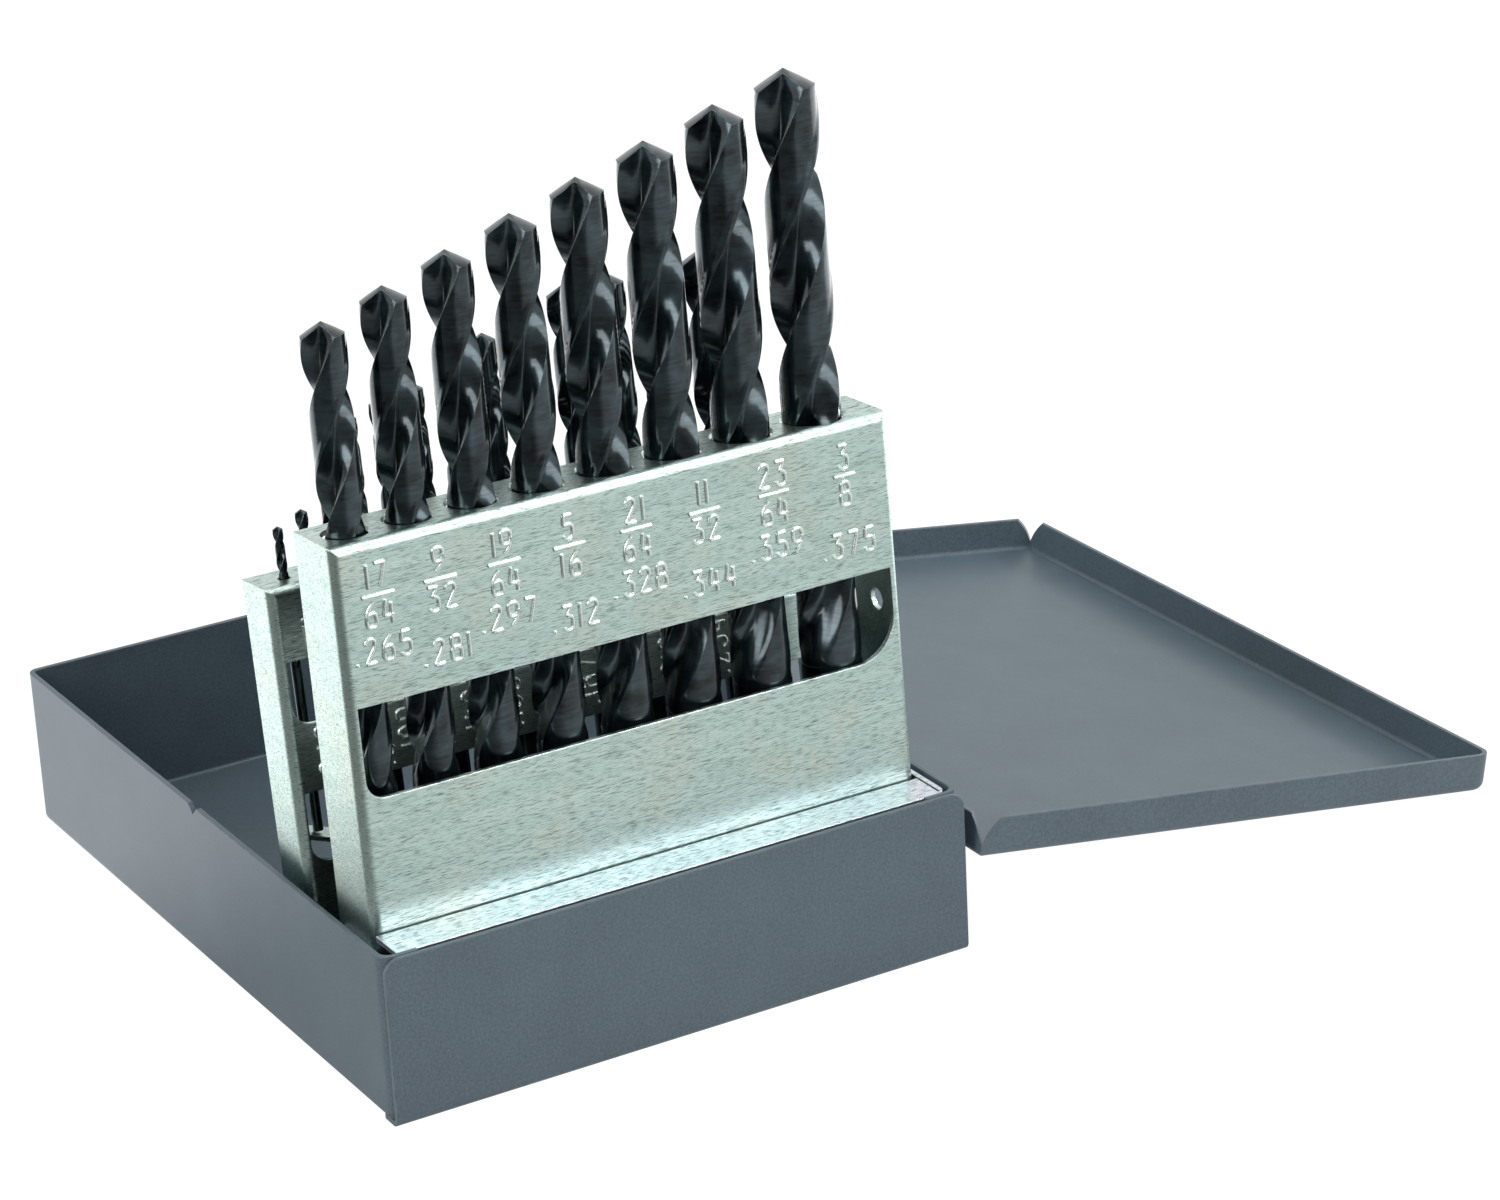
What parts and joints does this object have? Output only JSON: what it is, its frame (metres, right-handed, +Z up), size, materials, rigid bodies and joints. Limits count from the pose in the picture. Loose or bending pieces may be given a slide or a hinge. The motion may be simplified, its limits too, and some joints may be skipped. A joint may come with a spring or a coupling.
{
  "type": "drill index case",
  "caption": "Folded sheet-steel case with a hinged lid and two fold-up racks that hold a set of graded jobber twist drills.",
  "frame": {"origin": "middle of the tray's underside, on the surface that the case stands on", "axes": "+X to the right along the tray's front wall, +Y to the back, +Z up"},
  "size_m": [0.2017, 0.1362, 0.1388],
  "materials": {
    "painted_case": "smooth satin blue-grey enamel",
    "zinc_sheet": "zinc-plated sheet with a fine rolled grain",
    "pin_steel": "bright drawn steel",
    "black_oxide": "glossy black oxide"
  },
  "bodies": {
    "case": {"tray": "painted_case", "hinge_leaf": "painted_case", "hinge_pin": "pin_steel", "cradle": "zinc_sheet", "front_pivot_rivet_left": "pin_steel", "front_pivot_rivet_right": "pin_steel", "rear_pivot_rivet_left": "pin_steel", "rear_pivot_rivet_right": "pin_steel"},
    "lid": {"lid": "painted_case"},
    "front_rack": {"front_rack": "zinc_sheet", "front_shelf": "zinc_sheet"},
    "rear_rack": {"rear_rack": "zinc_sheet", "rear_shelf": "zinc_sheet"},
    "drill_1_16_inch": {"drill_1_16_inch": "black_oxide"},
    "drill_5_64_inch": {"drill_5_64_inch": "black_oxide"},
    "drill_3_32_inch": {"drill_3_32_inch": "black_oxide"},
    "drill_7_64_inch": {"drill_7_64_inch": "black_oxide"},
    "drill_1_8_inch": {"drill_1_8_inch": "black_oxide"},
    "drill_9_64_inch": {"drill_9_64_inch": "black_oxide"},
    "drill_5_32_inch": {"drill_5_32_inch": "black_oxide"},
    "drill_11_64_inch": {"drill_11_64_inch": "black_oxide"},
    "drill_3_16_inch": {"drill_3_16_inch": "black_oxide"},
    "drill_13_64_inch": {"drill_13_64_inch": "black_oxide"},
    "drill_7_32_inch": {"drill_7_32_inch": "black_oxide"},
    "drill_15_64_inch": {"drill_15_64_inch": "black_oxide"},
    "drill_1_4_inch": {"drill_1_4_inch": "black_oxide"},
    "drill_17_64_inch": {"drill_17_64_inch": "black_oxide"},
    "drill_9_32_inch": {"drill_9_32_inch": "black_oxide"},
    "drill_19_64_inch": {"drill_19_64_inch": "black_oxide"},
    "drill_5_16_inch": {"drill_5_16_inch": "black_oxide"},
    "drill_21_64_inch": {"drill_21_64_inch": "black_oxide"},
    "drill_11_32_inch": {"drill_11_32_inch": "black_oxide"},
    "drill_23_64_inch": {"drill_23_64_inch": "black_oxide"},
    "drill_3_8_inch": {"drill_3_8_inch": "black_oxide"}
  },
  "joints": [
    {"name": "lid_hinge", "type": "hinge", "parent": "case", "child": "lid", "pos_m": [0.0514, 0, 0.0218], "axis": [0, 1, 0], "range_deg": [-98, 0]},
    {"name": "rack_fold", "type": "hinge", "parent": "case", "child": "front_rack", "pos_m": [0, -0.0538, 0.0205], "axis": [1, 0, 0], "range_deg": [-86, 0]},
    {"name": "rear_rack_fold", "type": "hinge", "parent": "case", "child": "rear_rack", "pos_m": [0, -0.0325, 0.008], "axis": [1, 0, 0], "range_deg": [-84, 0]},
    {"name": "drill_1_16_lift", "type": "slide", "parent": "rear_rack", "child": "drill_1_16_inch", "axis": [0, 0.1045, 0.9945], "range_m": [0, 0.0427]},
    {"name": "drill_5_64_lift", "type": "slide", "parent": "rear_rack", "child": "drill_5_64_inch", "axis": [0, 0.1045, 0.9945], "range_m": [0, 0.0441]},
    {"name": "drill_3_32_lift", "type": "slide", "parent": "rear_rack", "child": "drill_3_32_inch", "axis": [0, 0.1045, 0.9945], "range_m": [0, 0.0457]},
    {"name": "drill_7_64_lift", "type": "slide", "parent": "rear_rack", "child": "drill_7_64_inch", "axis": [0, 0.1045, 0.9945], "range_m": [0, 0.0475]},
    {"name": "drill_1_8_lift", "type": "slide", "parent": "rear_rack", "child": "drill_1_8_inch", "axis": [0, 0.1045, 0.9945], "range_m": [0, 0.0494]},
    {"name": "drill_9_64_lift", "type": "slide", "parent": "rear_rack", "child": "drill_9_64_inch", "axis": [0, 0.1045, 0.9945], "range_m": [0, 0.0514]},
    {"name": "drill_5_32_lift", "type": "slide", "parent": "rear_rack", "child": "drill_5_32_inch", "axis": [0, 0.1045, 0.9945], "range_m": [0, 0.0536]},
    {"name": "drill_11_64_lift", "type": "slide", "parent": "rear_rack", "child": "drill_11_64_inch", "axis": [0, 0.1045, 0.9945], "range_m": [0, 0.0559]},
    {"name": "drill_3_16_lift", "type": "slide", "parent": "rear_rack", "child": "drill_3_16_inch", "axis": [0, 0.1045, 0.9945], "range_m": [0, 0.0584]},
    {"name": "drill_13_64_lift", "type": "slide", "parent": "rear_rack", "child": "drill_13_64_inch", "axis": [0, 0.1045, 0.9945], "range_m": [0, 0.061]},
    {"name": "drill_7_32_lift", "type": "slide", "parent": "rear_rack", "child": "drill_7_32_inch", "axis": [0, 0.1045, 0.9945], "range_m": [0, 0.0638]},
    {"name": "drill_15_64_lift", "type": "slide", "parent": "rear_rack", "child": "drill_15_64_inch", "axis": [0, 0.1045, 0.9945], "range_m": [0, 0.0667]},
    {"name": "drill_1_4_lift", "type": "slide", "parent": "rear_rack", "child": "drill_1_4_inch", "axis": [0, 0.1045, 0.9945], "range_m": [0, 0.0698]},
    {"name": "drill_17_64_lift", "type": "slide", "parent": "front_rack", "child": "drill_17_64_inch", "axis": [0, 0.0698, 0.9976], "range_m": [0, 0.0765]},
    {"name": "drill_9_32_lift", "type": "slide", "parent": "front_rack", "child": "drill_9_32_inch", "axis": [0, 0.0698, 0.9976], "range_m": [0, 0.0765]},
    {"name": "drill_19_64_lift", "type": "slide", "parent": "front_rack", "child": "drill_19_64_inch", "axis": [0, 0.0698, 0.9976], "range_m": [0, 0.0765]},
    {"name": "drill_5_16_lift", "type": "slide", "parent": "front_rack", "child": "drill_5_16_inch", "axis": [0, 0.0698, 0.9976], "range_m": [0, 0.0765]},
    {"name": "drill_21_64_lift", "type": "slide", "parent": "front_rack", "child": "drill_21_64_inch", "axis": [0, 0.0698, 0.9976], "range_m": [0, 0.0765]},
    {"name": "drill_11_32_lift", "type": "slide", "parent": "front_rack", "child": "drill_11_32_inch", "axis": [0, 0.0698, 0.9976], "range_m": [0, 0.0765]},
    {"name": "drill_23_64_lift", "type": "slide", "parent": "front_rack", "child": "drill_23_64_inch", "axis": [0, 0.0698, 0.9976], "range_m": [0, 0.0765]},
    {"name": "drill_3_8_lift", "type": "slide", "parent": "front_rack", "child": "drill_3_8_inch", "axis": [0, 0.0698, 0.9976], "range_m": [0, 0.0765]}
  ],
  "couplings": [
    {"joint": "rear_rack_fold", "follows": "rack_fold", "ratio": 0.97674}
  ]
}
